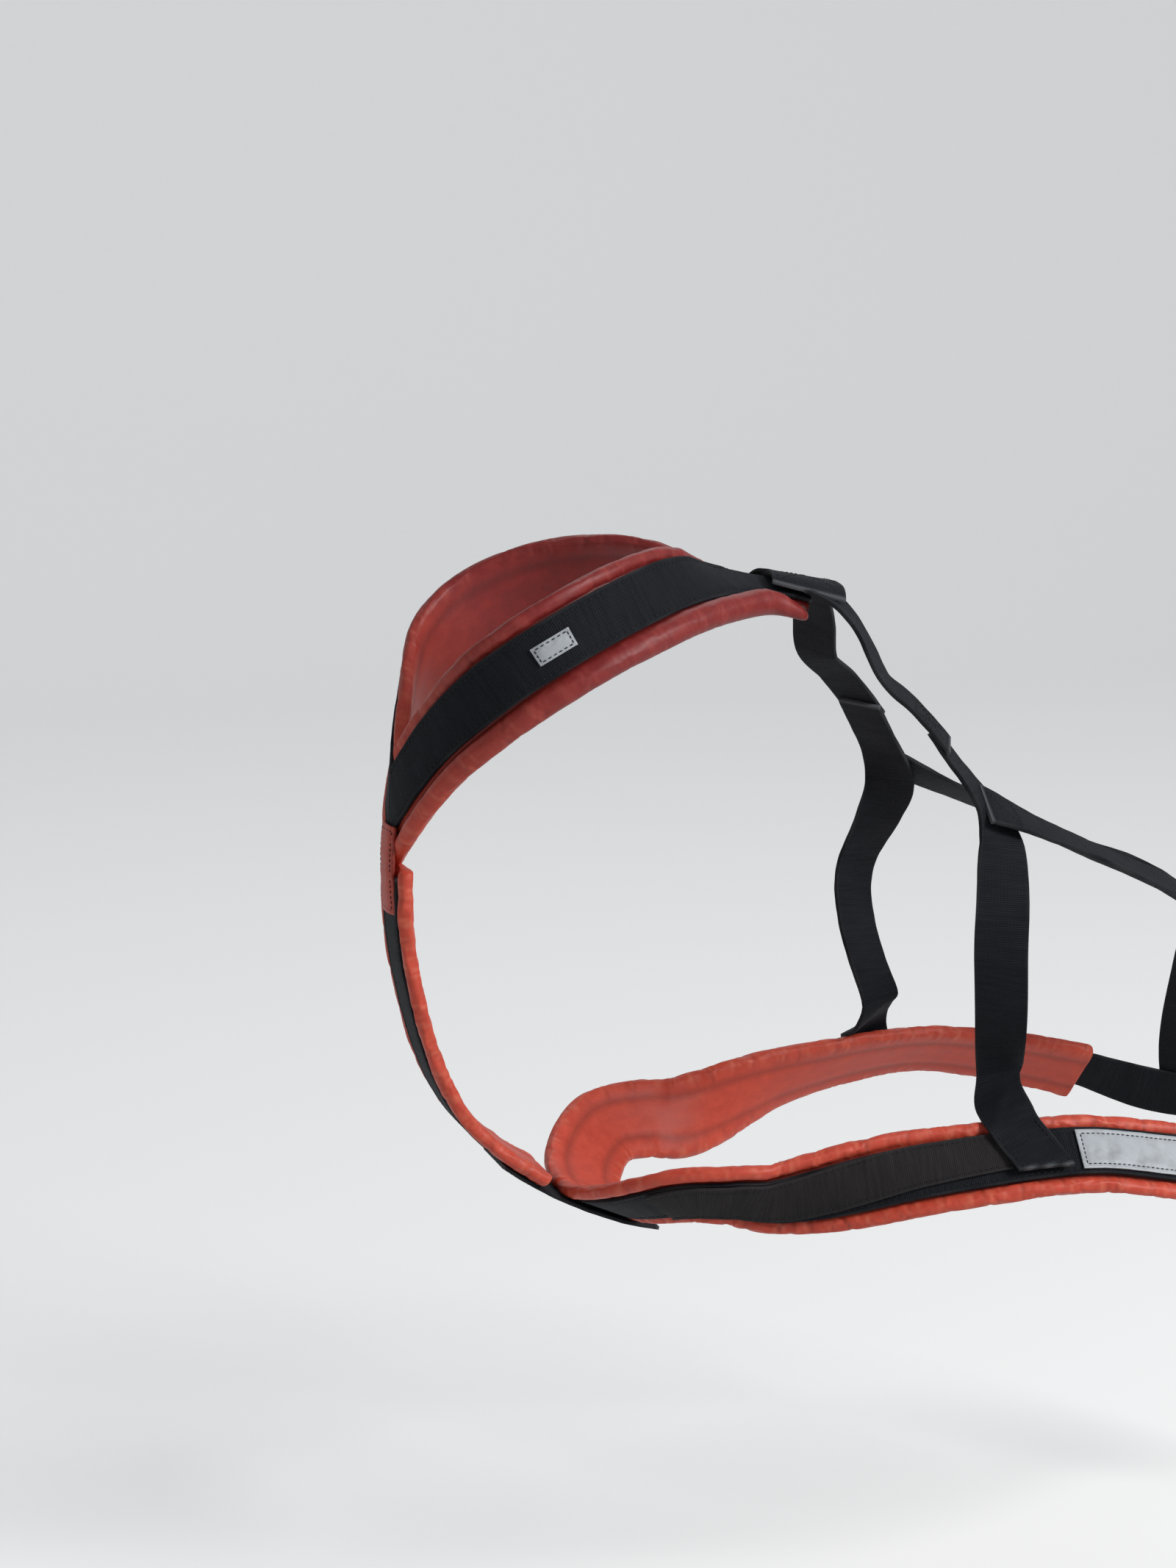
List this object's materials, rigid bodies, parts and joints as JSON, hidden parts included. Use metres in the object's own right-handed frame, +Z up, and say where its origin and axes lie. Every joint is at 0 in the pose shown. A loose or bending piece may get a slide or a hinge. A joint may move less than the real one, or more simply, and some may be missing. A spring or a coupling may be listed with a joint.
{
  "type": "sled dog harness",
  "caption": "X-back pulling harness for a sled dog, of padded black webbing edged in red, in its worn shape, with a steel D-ring at the tail for the tow line",
  "frame": {"origin": "on top of the withers, where the harness hangs on the dog that wears it", "axes": "+X to the dog's tail, -Y to the dog's left side, +Z up, with the dog sitting"},
  "size_m": [0.5438, 0.2388, 0.4263],
  "materials": {
    "padding": "coated cover cloth over foam, satin",
    "webbing": "woven webbing, matte with a faint sheen",
    "label": "reflective cloth with stitched border",
    "steel": "welded steel wire, nickel plated, satin"
  },
  "bodies": {
    "harness": {"neck_pad_left": "padding", "side_pad_left": "padding", "neck_webbing_left": "webbing", "side_webbing_left": "webbing", "side_cover_left": "webbing", "shoulder_strap_left": "webbing", "upright_left": "webbing", "rear_strap_left": "webbing", "neck_pad_right": "padding", "side_pad_right": "padding", "neck_webbing_right": "webbing", "side_webbing_right": "webbing", "side_cover_right": "webbing", "shoulder_strap_right": "webbing", "upright_right": "webbing", "rear_strap_right": "webbing", "chest_pad": "padding", "chest_tip": "padding", "chest_webbing": "webbing", "brisket_patch": "webbing", "withers_patch": "webbing", "tail_eye": "webbing", "side_label": "label", "neck_label": "label"},
    "tow_ring": {"tow_ring": "steel"}
  },
  "joints": [
    {"name": "tow_ring_swing", "type": "hinge", "parent": "harness", "child": "tow_ring", "pos_m": [0.31804, 0, -0.36834], "axis": [0, -1, 0], "range_deg": [-20, 110]}
  ]
}
